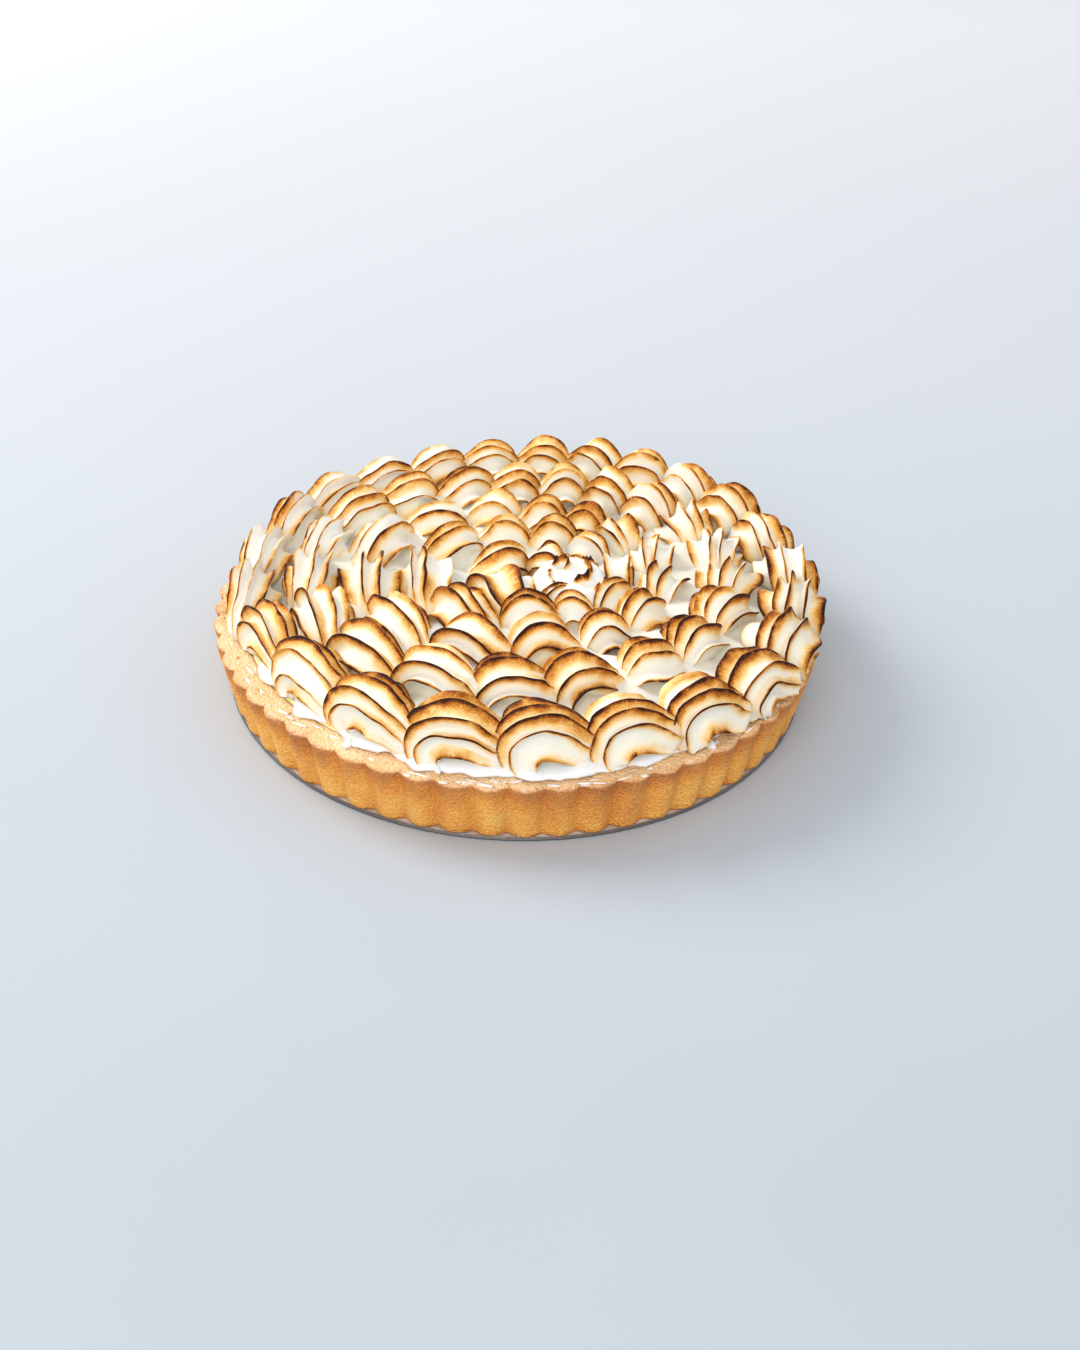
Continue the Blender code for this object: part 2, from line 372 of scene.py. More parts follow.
curd_mesh = grid_mesh("curd_filling", curd_rows)
curd_finish, tree, shader = new_finish("lemon_curd")
swirl = blotches(tree, 140.0, 4.0)
curd_colour = ramp(tree, swirl.outputs["Fac"], [(0.3, (0.90, 0.80, 0.34)), (0.7, (0.96, 0.90, 0.55))])
curd_gloss = graded(tree, swirl.outputs["Fac"], (0.3, 0.22), (0.7, 0.38))
feed(tree, shader, curd_colour.outputs["Color"], curd_gloss, swirl.outputs["Fac"], 0.0005)
shader.inputs["Subsurface Weight"].default_value = 0.15
shader.inputs["Subsurface Scale"].default_value = 0.004
curd_filling = show("curd_filling", curd_mesh, curd_finish)
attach(curd_filling, "root")
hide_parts("lemon_curd")


# ---- The meringue's bed ----
# Italian meringue, spread over the curd before the piping starts. It shows as floors between the rings of
# shells, tinted cream as painted shade, and as a white skirt that creeps out over the pastry's rim in lobes.

BED_STEPS = 360
BED_TOP = 0.0335
BED_EDGE = 0.1208
BED_SWING = 0.0034
BED_WIDEST = math.radians(-62.0)
# Where the bed stops short and the curd shows: the angle, how far to each side, and by how much.
BED_BARE = ((200.0, 9.0, 0.0070), (218.0, 5.0, 0.0070), (233.0, 5.0, 0.0060), (247.0, 3.0, 0.0050))

bed_round, bed_ring = turn_round(BED_STEPS)
bed_reach = BED_EDGE + BED_SWING * np.cos(bed_round - BED_WIDEST)
bed_reach += 0.0018 * rough(bed_ring, 3.1, 8) + 0.0034 * rough(bed_ring, 9.0, 9)
bed_reach += 0.0022 * rough(bed_ring, 24.0, 10)
for bare_at, bare_width, bare in BED_BARE:
    off_bare = np.degrees(np.abs(np.angle(np.exp(1j * (bed_round - math.radians(bare_at))))))
    bed_reach -= bare * np.exp(-((off_bare / bare_width) ** 2))
bed_base = case_top - 0.0009
bed_rows = []
for share, height in (
    (0.35, bed_base), (0.93, bed_base), (0.985, bed_base + 0.0002), (1.0, bed_base + 0.0010),
    (0.998, bed_base + 0.0020), (0.990, bed_base + 0.0028), (0.972, bed_base + 0.0034),
    (0.93, BED_TOP - 0.0004), (0.88, BED_TOP + 0.0020), (0.83, BED_TOP + 0.0042), (0.76, BED_TOP + 0.0050),
    *((share, BED_TOP + 0.0054) for share in (0.69, 0.62, 0.55, 0.48, 0.41, 0.34)),
    (0.27, BED_TOP + 0.0052), *((share, BED_TOP + 0.0050) for share in (0.20, 0.13, 0.06)),
):
    row = bed_ring * (bed_reach * share)[:, None]
    row[:, 2] = height
    if height > bed_base + 0.001:
        row[:, 2] += 0.0007 * rough(row, 110.0, 11) * min(1.0, (height - bed_base) / 0.003)
        row[:, 2] += 0.0045 * rough(row, 85.0, 12) * min(1.0, max(0.0, height - BED_TOP) / 0.004)
    bed_rows.append(row)
bed_mesh = grid_mesh("meringue_bed", bed_rows)
measure(bed_mesh, "toasting", np.zeros(len(bed_mesh.vertices)))
# The floors between the rings count as deep, and take the cream tint of painted shade.
bed_deep = [np.clip((row[:, 2] - BED_TOP + 0.001) / 0.002, 0.0, 1.0) for row in bed_rows]
measure(bed_mesh, "deep", np.concatenate(bed_deep + [np.array([0.0, 1.0])]))

# The meringue's own finish, read by the bed and by every shell. "toasting" is how far the flame has gone,
# from white through gold and amber to scorched. "deep" is how far down between the fins a point lies, tinted
# cream as painted shade.
meringue_finish, tree, shader = new_finish("toasted_meringue")
heat = place(tree, "ShaderNodeAttribute", attribute_name="toasting")
deep = place(tree, "ShaderNodeAttribute", attribute_name="deep")
licks = blotches(tree, 170.0, 4.0)
pebbles = blotches(tree, 1500.0, 3.0)
off_lick = place(tree, "ShaderNodeMath", {0: licks.outputs["Fac"], 1: -0.5}, operation="ADD")
off_pebble = place(tree, "ShaderNodeMath", {0: pebbles.outputs["Fac"], 1: -0.5}, operation="ADD")
both = place(tree, "ShaderNodeMath", {0: off_lick.outputs["Value"], 1: 1.7, 2: off_pebble.outputs["Value"]},
             operation="MULTIPLY_ADD")
scorch = place(tree, "ShaderNodeMath", {0: both.outputs["Value"], 1: 1.0}, operation="ADD")
toasted = place(tree, "ShaderNodeMath", {0: heat.outputs["Fac"], 1: scorch.outputs["Value"]},
                operation="MULTIPLY")
toast_colour = ramp(tree, toasted.outputs["Value"], [
    (0.0, (0.785, 0.782, 0.775)), (0.07, (0.815, 0.762, 0.655)), (0.20, (0.85, 0.56, 0.225)),
    (0.38, (0.58, 0.24, 0.028)), (0.56, (0.30, 0.075, 0.007)), (0.72, (0.090, 0.022, 0.004)),
    (0.90, (0.022, 0.006, 0.003))])
# Painted shade: the deeper a point lies between the fins, the more its white is tinted a warm cream.
hollow_shade_tint = mixed(tree, deep.outputs["Fac"], (1.0, 1.0, 1.0, 1.0), (0.985, 0.950, 0.83, 1.0))
meringue_base = mixed(tree, 1.0, toast_colour.outputs["Color"], hollow_shade_tint, "MULTIPLY")
meringue_gloss = graded(tree, toasted.outputs["Value"], (0.0, 0.44), (0.35, 0.56), (0.8, 0.72))
blister = place(tree, "ShaderNodeMath", {0: pebbles.outputs["Fac"], 1: toasted.outputs["Value"]},
                operation="MULTIPLY")
feed(tree, shader, meringue_base, meringue_gloss, blister.outputs["Value"], 0.0006)
shader.inputs["Specular IOR Level"].default_value = 0.16
shader.inputs["Subsurface Weight"].default_value = 0.08
shader.inputs["Subsurface Scale"].default_value = 0.004
shader.inputs["Subsurface Radius"].default_value = (1.0, 0.8, 0.55)
meringue_bed = show("meringue_bed", bed_mesh, meringue_finish)
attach(meringue_bed, "root")


# ---- The piped shells ----
# Shells piped from a star nozzle in rings round a point right of the middle, each nose laid over the tail
# before it. The nozzle's teeth leave thin fins along every shell, and a blowtorch has browned their edges.

# A shell's reach from its middle line, the length and height that it is drawn to, and how far off its spot it
# slips, in metres, and turns, in degrees.
SHELL_REACH = 0.0165
SHELL_DRAWN_LONG = 0.0365
SHELL_DRAWN_TALL = 0.0285
SHELL_FOOT = case_top - 0.0006
SHELL_SLIP = 0.0012
SHELL_TURN = 11.0
FIN_THIN = 4.0
SHELL_LENGTH_STEPS = 42
SHELL_VARIANTS = 4
SHELL_SEED = 5
PIPING_CENTRE = (0.0100, 0.0040)
FRONT_STRETCH = 0.14
# How high the crests stand, how far a fin may rise over that, and how the height changes round the back.
CREST_HEIGHT = cad_high.z - 0.0002
CREST_OVER = 0.0030
BACK_LEFT_AT = math.radians(118.0)
BACK_LEFT_DROP = 0.0035
BACK_RIGHT_AT = math.radians(66.0)
BACK_RIGHT_RISE = 0.0018
# How far the rings lap over each other, how far the outer ring reaches out and where it stops short, and the
# widths that a shell's outer and inner sides may have.
RING_OVERLAP = 0.0012
OUTER_REACH = 0.0138
BARE_AT = 220.0
BARE_WIDE = 30.0
BARE_SHORT = 0.0036
SIDE_LEAST, OUTER_MOST, INNER_MOST = 0.0085, 0.0190, 0.0200
# How uneven the piping is, in metres and in waves to a metre.
SHELL_UNEVEN, SHELL_UNEVEN_SCALE = 0.0046, 60.0
# Each ring: its radius, as a mean and what it gains to the right, to the back and to both sides, then its
# number of shells and the angle at which it starts.
SHELL_RINGS = (
    ((0.1137, -0.0074, -0.0038, 0.0019), 24, 262.0),
    ((0.0853, -0.0106, 0.0019, 0.0047), 20, 252.0),
    ((0.0564, -0.0134, 0.0019, 0.0058), 14, 255.0),
    ((0.0370, -0.0090, 0.0045, 0.0050), 10, 240.0),
    ((0.0165, -0.0050, 0.0000, 0.0000), 5, 250.0),
)
# The ring and the place in it that the torn curl takes from a shell. The shells round it are lower.
CURL_TAKES = (4, 1)
CURL_SPOT = (0.0218, 0.0004)
CURL_LOWERS_WITHIN = 0.034
# The middle line of a shell as the nozzle draws it, from a start low on the outer side: how far along it is,
# then its place along, aside and up in metres, and the shares of the reach that its core and its fins take.
DOMED_LINE = (
    (0.00, 0.0024, -0.0092, 0.0004, 0.08, 0.02),
    (0.05, 0.0012, -0.0080, 0.0014, 0.28, 0.09),
    (0.11, 0.0000, -0.0058, 0.0036, 0.44, 0.18),
    (0.18, -0.0006, -0.0032, 0.0066, 0.53, 0.29),
    (0.27, 0.0006, -0.0010, 0.0098, 0.57, 0.39),
    (0.38, 0.0040, 0.0000, 0.0120, 0.58, 0.42),
    (0.50, 0.0088, 0.0000, 0.0118, 0.60, 0.37),
    (0.64, 0.0148, 0.0000, 0.0094, 0.61, 0.26),
    (0.80, 0.0215, 0.0000, 0.0060, 0.59, 0.12),
    (0.92, 0.0268, 0.0000, 0.0034, 0.50, 0.05),
    (0.97, 0.0292, 0.0000, 0.0020, 0.34, 0.02),
    (1.00, 0.0304, 0.0000, 0.0010, 0.10, 0.01),
)
LONG_LINE = (
    (0.00, -0.0010, -0.0012, 0.0016, 0.10, 0.02),
    (0.05, -0.0008, -0.0010, 0.0040, 0.32, 0.13),
    (0.12, 0.0008, -0.0006, 0.0066, 0.46, 0.26),
    (0.22, 0.0044, -0.0002, 0.0088, 0.53, 0.36),
    (0.36, 0.0095, 0.0000, 0.0100, 0.56, 0.41),
    (0.50, 0.0145, 0.0000, 0.0098, 0.57, 0.41),
    (0.64, 0.0195, 0.0000, 0.0086, 0.56, 0.37),
    (0.78, 0.0245, 0.0000, 0.0064, 0.54, 0.28),
    (0.90, 0.0290, 0.0000, 0.0040, 0.48, 0.15),
    (0.96, 0.0316, 0.0000, 0.0024, 0.34, 0.06),
    (1.00, 0.0332, 0.0000, 0.0010, 0.10, 0.01),
)
# The kinds of shell: domed, long and waving, small domed, and small long. Each is its line, its teeth round
# the nozzle, the fins that show, how far they wave and lean in radians, and how far the nozzle tips over.
SHELL_KINDS = (
    (DOMED_LINE, 10, 7, 0.07, 0.14, 1.0),
    (LONG_LINE, 11, 5, 0.15, 0.10, 0.40),
    (DOMED_LINE, 8, 6, 0.16, 0.20, 0.9),
    (LONG_LINE, 9, 4, 0.15, 0.12, 0.45),
)
# The kind that each ring has, and the kind that it has at its right side.
RING_KINDS = ((0, 0), (0, 1), (2, 3), (2, 2), (2, 2))


def smooth_line(knots, at):
    """Cubic interpolation through knots, each (position, value, value, ...)."""
    knots = np.array(knots)
    slopes = np.gradient(knots[:, 1:], knots[:, 0], axis=0)
    i = np.clip(np.searchsorted(knots[:, 0], at, side="right") - 1, 0, len(knots) - 2)
    width = (knots[i + 1, 0] - knots[i, 0])[:, None]
    s = (at - knots[i, 0])[:, None] / width
    a, b = knots[i, 1:], knots[i + 1, 1:]
    return ((2 * s**3 - 3 * s**2 + 1) * a + (s**3 - 2 * s**2 + s) * width * slopes[i]
            + (3 * s**2 - 2 * s**3) * b + (s**3 - s**2) * width * slopes[i + 1])


def round_line(at, over, reach, turned):
    """Points round one place of a shell's middle line, at a reach and at angles from its outer side."""
    up = reach * np.sin(turned)
    return np.stack([at[0] + up * over[0], at[1] - reach * np.cos(turned), at[2] + up * over[1]], axis=1)


def shell_mesh(name, chance, knots, teeth, shown, wave, lean_most, tipped):
    """One piped shell along +X, with its outer side towards -Y. Its fins run the whole length."""
    tooth = math.tau / teeth
    across = np.array([-1.0, -0.72, -0.48, -0.28, -0.14, -0.05, 0.05, 0.14, 0.28, 0.48, 0.72])
    first = math.radians(90.0) - 0.5 * (shown - 1) * tooth + chance.uniform(-0.5, 0.5) * tooth
    fins = first + tooth * np.arange(shown)
    under = fins[-1] + 0.5 * tooth + np.array([0.25, 0.5, 0.75]) * (math.tau - shown * tooth)
    angles = np.concatenate([(fins[:, None] + 0.5 * tooth * across).ravel(), under])
    fin_of = np.append(np.repeat(np.arange(shown), len(across)), [shown - 1] * len(under))
    offset = np.append(np.tile(across, shown), [-1.0] * len(under))
    tall = 1.0 + chance.uniform(-0.25, 0.10, shown)
    lean = chance.uniform(-lean_most, lean_most, shown)
    sway = chance.uniform(0.0, math.tau) + chance.uniform(-0.5, 0.5, shown)
    swing = chance.uniform(0.6, 1.0, shown) * wave
    at = np.linspace(0.0, 1.0, SHELL_LENGTH_STEPS) ** 1.08
    line = smooth_line(knots, at)
    ahead = np.gradient(line[:, [0, 2]], at, axis=0)
    ahead /= np.linalg.norm(ahead, axis=1)[:, None]
    ahead = tipped * ahead + (1.0 - tipped) * np.array([1.0, 0.0])
    ahead /= np.linalg.norm(ahead, axis=1)[:, None]
    over = np.stack([-ahead[:, 1], ahead[:, 0]], axis=1)
    blade = (1.0 - np.clip((np.abs(offset) - 0.05) / 0.95, 0.0, 1.0)) ** FIN_THIN
    rows, tips = [], []
    for n, t in enumerate(at):
        bend = lean[fin_of] * (1.0 - np.abs(offset)) + swing[fin_of] * np.sin(sway[fin_of] + 6.0 * t)
        reach = SHELL_REACH * (line[n, 3] + line[n, 4] * tall[fin_of] * blade)
        tip_reach = SHELL_REACH * (line[n, 3] + line[n, 4] * tall[fin_of])
        rows.append(round_line(line[n], over[n], reach, angles + bend))
        tip_row = round_line(line[n], over[n], tip_reach, fins[fin_of] + bend)
        tips.append(np.linalg.norm(rows[-1] - tip_row, axis=1))
    mesh = grid_mesh(name, rows)
    mesh.flip_normals()
    measure(mesh, "from_edge", np.concatenate(tips + [np.full(2, 0.004)]))
    measure(mesh, "fin", np.concatenate([fin_of + 0.5 * (offset > 0)] * len(rows) + [np.zeros(2)]))
    measure(mesh, "along", np.append(np.repeat(at, len(angles)), [0.0, 1.0]))
    return mesh


shell_chance = np.random.default_rng(SHELL_SEED)
shell_kinds = bpy.data.collections.new("shell_kinds")
bpy.context.scene.collection.children.link(shell_kinds)
for kind in range(len(SHELL_KINDS) * SHELL_VARIANTS):
    sample_mesh = shell_mesh(f"shell_kind_{kind:02d}", shell_chance, *SHELL_KINDS[kind // SHELL_VARIANTS])
    shell_kinds.objects.link(bpy.data.objects.new(f"shell_kind_{kind:02d}", sample_mesh))


def swung(number, around):
    """The radius of a ring's crest at an angle round the piping's centre."""
    mean, right, back, sides = SHELL_RINGS[number][0]
    return mean + right * math.cos(around) + back * math.sin(around) + sides * math.cos(2.0 * around)


def stretched(turn):
    """A share of the way round a ring made an angle, with longer steps at the front."""
    return math.tau * turn + FRONT_STRETCH * math.cos(math.tau * turn)


def shell_spots(number):
    """A ring's shells, each with its place, heading, length, width, height, kind and inner side's width."""
    _, count, start = SHELL_RINGS[number]
    spots = []
    for shell in range(count):
        if (number, shell) == CURL_TAKES:
            continue
        turn = start / 360.0 + (shell + 0.42) / count
        around = stretched(turn)
        radius = swung(number, around) + shell_chance.uniform(-SHELL_SLIP, SHELL_SLIP)
        pitch = (stretched(turn + 1.0 / count) - around) * radius
        if number == 0:
            bare = math.exp(-(((math.degrees(around) % 360.0 - BARE_AT) / BARE_WIDE) ** 2))
            outer = OUTER_REACH + 0.0012 * math.cos(around) - BARE_SHORT * bare
        else:
            outer = 0.5 * (swung(number - 1, around) - radius) + RING_OVERLAP
        if number == len(SHELL_RINGS) - 1:
            inner = 0.8 * radius
        else:
            inner = 0.5 * (radius - swung(number + 1, around)) + RING_OVERLAP
        outer, inner = np.clip(outer, SIDE_LEAST, OUTER_MOST), np.clip(inner, SIDE_LEAST, INNER_MOST)
        crest = CREST_HEIGHT - BACK_LEFT_DROP * max(0.0, math.cos(around - BACK_LEFT_AT)) ** 3
        crest += BACK_RIGHT_RISE * max(0.0, math.cos(around - BACK_RIGHT_AT)) ** 6
        tall = (crest - SHELL_FOOT) / SHELL_DRAWN_TALL * shell_chance.uniform(0.91, 1.0)
        spot_x = PIPING_CENTRE[0] + radius * math.cos(around)
        spot_y = PIPING_CENTRE[1] + radius * math.sin(around)
        tall *= 0.60 + 0.40 * min(1.0, math.dist((spot_x, spot_y), CURL_SPOT) / CURL_LOWERS_WITHIN)
        ahead = (swung(number, around + 0.01) - swung(number, around - 0.01)) / 0.02
        heading = around + math.pi / 2 - math.atan2(ahead, radius)
        heading += math.radians(shell_chance.uniform(-SHELL_TURN, SHELL_TURN))
        at_right = math.cos(around + 0.15) > shell_chance.uniform(0.30, 0.75)
        kind = RING_KINDS[number][int(at_right)] * SHELL_VARIANTS + int(shell_chance.integers(SHELL_VARIANTS))
        spots.append((spot_x, spot_y, SHELL_FOOT, heading, max(0.42, pitch / SHELL_DRAWN_LONG),
                      outer / SHELL_REACH, tall, kind, inner / outer))
    return spots


# The tree that lays the shells: it sets a kind of shell on each spot, turned and sized as its spot says,
# makes them one mesh, and lets slow noise push every shell a little out of true.
piping = bpy.data.node_groups.new("pipe_shells", "GeometryNodeTree")
for label, sort in (
    ("Geometry", "Geometry"), ("Kinds", "Collection"), ("Finish", "Material"), ("Uneven", "Float"),
    ("Uneven Scale", "Float"),
):
    piping.interface.new_socket(label, in_out="INPUT", socket_type="NodeSocket" + sort)
piping.interface.new_socket("Geometry", in_out="OUTPUT", socket_type="NodeSocketGeometry")
spot_in = place(piping, "NodeGroupInput")
spot_out = place(piping, "NodeGroupOutput")
kinds = place(piping, "GeometryNodeCollectionInfo", {
    "Collection": spot_in.outputs["Kinds"], "Separate Children": True, "Reset Children": True})
kind_of = place(piping, "GeometryNodeInputNamedAttribute", {"Name": "kind"}, data_type="INT")
turn_of = place(piping, "GeometryNodeInputNamedAttribute", {"Name": "turned"}, data_type="FLOAT_VECTOR")
size_of = place(piping, "GeometryNodeInputNamedAttribute", {"Name": "sized"}, data_type="FLOAT_VECTOR")
turn_made = place(piping, "FunctionNodeEulerToRotation", {"Euler": turn_of.outputs["Attribute"]})
laid = place(piping, "GeometryNodeInstanceOnPoints", {
    "Points": spot_in.outputs["Geometry"], "Instance": kinds.outputs["Instances"], "Pick Instance": True,
    "Instance Index": kind_of.outputs["Attribute"], "Rotation": turn_made.outputs["Rotation"],
    "Scale": size_of.outputs["Attribute"]})
joined = place(piping, "GeometryNodeRealizeInstances", {"Geometry": laid.outputs["Instances"]})
drift = place(piping, "ShaderNodeTexNoise", {"Scale": spot_in.outputs["Uneven Scale"], "Detail": 1.5})
centred = place(piping, "ShaderNodeVectorMath", {0: drift.outputs["Color"], 1: (-0.5, -0.5, -0.5)},
                operation="ADD")
pushed = place(piping, "ShaderNodeVectorMath", {
    0: centred.outputs["Vector"], "Scale": spot_in.outputs["Uneven"]}, operation="SCALE")
moved = place(piping, "GeometryNodeSetPosition", {
    "Geometry": joined.outputs["Geometry"], "Offset": pushed.outputs["Vector"]})
coated = place(piping, "GeometryNodeSetMaterial", {
    "Geometry": moved.outputs["Geometry"], "Material": spot_in.outputs["Finish"]})
piping.links.new(coated.outputs["Geometry"], spot_out.inputs["Geometry"])


def run_tree(holder, group, values):
    """Runs a node group on an object, and returns the result as a plain mesh."""
    modifier = holder.modifiers.new(group.name, "NODES")
    modifier.node_group = group
    named = {item.name: item.identifier for item in group.interface.items_tree if item.in_out == "INPUT"}
    for key, value in values.items():
        modifier[named[key]] = value
    graph = bpy.context.evaluated_depsgraph_get()
    made = bpy.data.meshes.new_from_object(holder.evaluated_get(graph))
    holder.modifiers.remove(modifier)
    return made


def lay(name, kinds, spots, finish, uneven, uneven_scale):
    """Lays kinds of one thing on spots, each (x, y, z, heading, length, width, height, kind), as one mesh."""
    cloud = bpy.data.meshes.new(name + "_spots")
    cloud.from_pydata(spots[:, :3].tolist(), [], [])
    cloud.attributes.new("kind", "INT", "POINT").data.foreach_set("value", spots[:, 7].astype(np.int32))
    turned = np.zeros((len(spots), 3), np.float32)
    turned[:, 2] = spots[:, 3]
    cloud.attributes.new("turned", "FLOAT_VECTOR", "POINT").data.foreach_set("vector", turned.ravel())
    cloud.attributes.new("sized", "FLOAT_VECTOR", "POINT").data.foreach_set(
        "vector", spots[:, 4:7].astype(np.float32).ravel())
    measure(cloud, "own", shell_chance.uniform(0.0, 1.0, len(spots)))
    measure(cloud, "spot", np.arange(len(spots)))
    holder = bpy.data.objects.new(name + "_spots", cloud)
    bpy.context.scene.collection.objects.link(holder)
    mesh = run_tree(holder, piping, {"Kinds": kinds, "Finish": finish, "Uneven": uneven,
                                     "Uneven Scale": uneven_scale})
    bpy.data.objects.remove(holder)
    mesh.name = name
    return mesh


def read(mesh, name):
    """A named number at each point of a mesh."""
    values = np.zeros(len(mesh.vertices), np.float32)
    mesh.attributes[name].data.foreach_get("value", values)
    return values


def forget(mesh, *names):
    """Removes named numbers that no material reads."""
    for name in names:
        mesh.attributes.remove(mesh.attributes[name])


def clear(group):
    """Removes a collection of kinds once they are laid."""
    for sample in list(group.objects):
        bpy.data.objects.remove(sample)
    bpy.data.collections.remove(group)


def vectors(mesh, key):
    """The places or the normals of a mesh's points."""
    values = np.zeros(len(mesh.vertices) * 3, np.float32)
    mesh.vertices.foreach_get(key, values)
    return values.reshape(-1, 3)


def spread_inward(mesh, spots):
    """Widens each shell's inner side, which runs down to the next ring, apart from its outer side."""
    points = vectors(mesh, "co")
    spot = spots[np.rint(read(mesh, "spot")).astype(int)]
    inward = np.stack([-np.sin(spot[:, 3]), np.cos(spot[:, 3])], axis=1)
    off = np.sum((points[:, :2] - spot[:, :2]) * inward, axis=1)
    points[:, :2] += inward * (np.maximum(off, 0.0) * (spot[:, 8] - 1.0))[:, None]
    mesh.vertices.foreach_set("co", points.ravel())


def brown(mesh):
    """Trims a mesh of shells at the bed and the rim, and works out how the flame has browned it."""
    points = vectors(mesh, "co")
    points[:, 2] = np.clip(points[:, 2], case_top + 0.0004, CREST_HEIGHT + CREST_OVER)
    mesh.vertices.foreach_set("co", points.ravel())
    mesh.update()
    facing = vectors(mesh, "normal")
    edge = read(mesh, "from_edge") * 1000.0
    fin, along, own = read(mesh, "fin"), read(mesh, "along"), read(mesh, "own")
    # Each side of each fin has its own luck with the flame, and so has each whole shell.
    luck = np.modf(np.abs(np.sin(np.floor(fin * 2.0) * 12.99 + own * 78.23) * 437.58))[0]
    whole_luck = np.modf(np.abs(np.sin(own * 311.7) * 91.3))[0]
    # The flame came from the front and from outside, and caught most what stands high and faces it.
    outward = np.clip(points[:, 0] / 0.115, -1.0, 1.0)
    exposed = 0.62 * outward * facing[:, 0] - 0.74 * facing[:, 1] + 0.26 * facing[:, 2] + 0.9 * (luck - 0.5)
    side = np.clip((exposed + 0.20) / 0.60, 0.0, 1.0)
    height = np.clip((points[:, 2] - case_top - 0.003) / 0.012, 0.0, 1.0)
    far_right = np.clip((points[:, 0] + 0.10) / 0.16, 0.0, 1.0)
    back = np.clip((points[:, 1] + 0.02) / 0.08, 0.0, 1.0)
    # A band of gold fades in from each edge, which is itself a thin, patchy, scorched line, both in mm.
    width = 0.7 + side * (1.9 + 2.9 * luck)
    strong = (0.05 + 0.34 * side + 0.16 * whole_luck * side) * (0.35 + 0.65 * height)
    strong *= 0.90 + 0.25 * far_right
    strong *= 1.0 - 0.30 * back * far_right
    band = strong * np.exp(-((edge / width) ** 2.2))
    patchy = np.modf(np.abs(luck * 7.3 + 0.5 * np.sin(9.0 * along + 20.0 * own)))[0]
    thick = 0.32 + 0.46 * side * patchy
    line = (0.14 + 0.40 * luck + 0.34 * patchy) * np.exp(-((edge / thick) ** 2.0))
    line *= 0.55 + 0.45 * height
    line *= 1.0 - 0.38 * back
    topmost = np.clip((along - 0.05) / 0.13, 0.0, 1.0) * np.clip((0.98 - along) / 0.34, 0.0, 1.0)
    line *= 0.20 + 0.80 * topmost
    band *= 0.25 + 0.75 * topmost
    forget(mesh, "from_edge", "fin", "along", "own", "spot")
    measure(mesh, "toasting", np.clip(band + line, 0.0, 1.0))
    # How deep between the fins a point lies, for the cream tint of painted shade.
    measure(mesh, "deep", np.clip((edge - 1.6) / 3.8, 0.0, 1.0))


def pipe_ring(name, spots):
    """The shells on some spots as one mesh, trimmed flat where they stand and browned by the flame."""
    mesh = lay(name, shell_kinds, spots, meringue_finish, SHELL_UNEVEN, SHELL_UNEVEN_SCALE)
    spread_inward(mesh, spots)
    brown(mesh)
    mesh.shade_smooth()
    return show(name, mesh, meringue_finish)


outer_spots = np.array(shell_spots(0))
outer_shells = pipe_ring("outer_shells", outer_spots)
second_shells = pipe_ring("second_shells", np.array(shell_spots(1)))
third_shells = pipe_ring("third_shells", np.array(shell_spots(2)))
inner_shells = pipe_ring("inner_shells", np.array(shell_spots(3) + shell_spots(4)))
clear(shell_kinds)
for piece in (outer_shells, second_shells, third_shells, inner_shells):
    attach(piece, "root")
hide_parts("meringue")


# ---- The torn curl in the middle ----
# Where the last ring closed, the nozzle was pulled away and left a low mound of torn meringue. Thin ragged
# walls wind round its hollow middle, and the flame has caught their tops.

CURL_RINGS = 62
CURL_POINTS = 190
CURL_REACH = 0.0235
CURL_FLOOR = case_top + 0.0172
# The mound falls away from CURL_FLAT outwards, and has a hollow beside its middle.
CURL_FLAT = 0.0125
CURL_SLOPE = 0.0100
CURL_FALL = 0.0130
CURL_HOLLOW_AT = (0.0002, -0.0022)
CURL_HOLLOW_WIDE = 0.0052
CURL_HOLLOW_DEEP = 0.0026
# A torn wall is this thick at its top, and stands on a wider foot that has a share of its height.
CURL_WALL = 0.00075
CURL_FOOT = 0.0022
CURL_FOOT_SHARE = 0.20
CURL_EDGE_STEPS = 70
# Each torn edge: the middle it winds about, its radius at each end, the angles it runs between, and its
# height.
CURL_EDGES = (
    ((-0.0030, 0.0066), 0.0040, 0.0022, 205.0, -95.0, 0.0048),
    ((-0.0010, 0.0004), 0.0096, 0.0108, -82.0, 58.0, 0.0062),
    ((0.0012, 0.0022), 0.0140, 0.0116, 28.0, 112.0, 0.0042),
    ((0.0000, -0.0008), 0.0096, 0.0082, 148.0, 268.0, 0.0024),
    ((0.0046, -0.0014), 0.0104, 0.0112, -58.0, 10.0, 0.0036),
)

curl_ring = turn_round(CURL_POINTS)[1]
curl_points = np.concatenate([
    curl_ring * CURL_REACH * share for share in np.linspace(0.012, 1.0, CURL_RINGS)])
off_curl = curl_points[:, :2].copy()
curl_points[:, :2] += CURL_SPOT
slope = np.clip((np.linalg.norm(off_curl, axis=1) - CURL_FLAT) / CURL_SLOPE, 0.0, 1.0)
from_hollow = np.linalg.norm(off_curl - CURL_HOLLOW_AT, axis=1)
curl_points[:, 2] = 0.0016 * rough(curl_points, 150.0, 33)
curl_points[:, 2] += CURL_FLOOR - CURL_FALL * slope**2 * (3.0 - 2.0 * slope)
curl_points[:, 2] -= CURL_HOLLOW_DEEP * np.exp(-((from_hollow / CURL_HOLLOW_WIDE) ** 2))
curl_wall = np.zeros(len(curl_points))
curl_edge = np.zeros(len(curl_points))
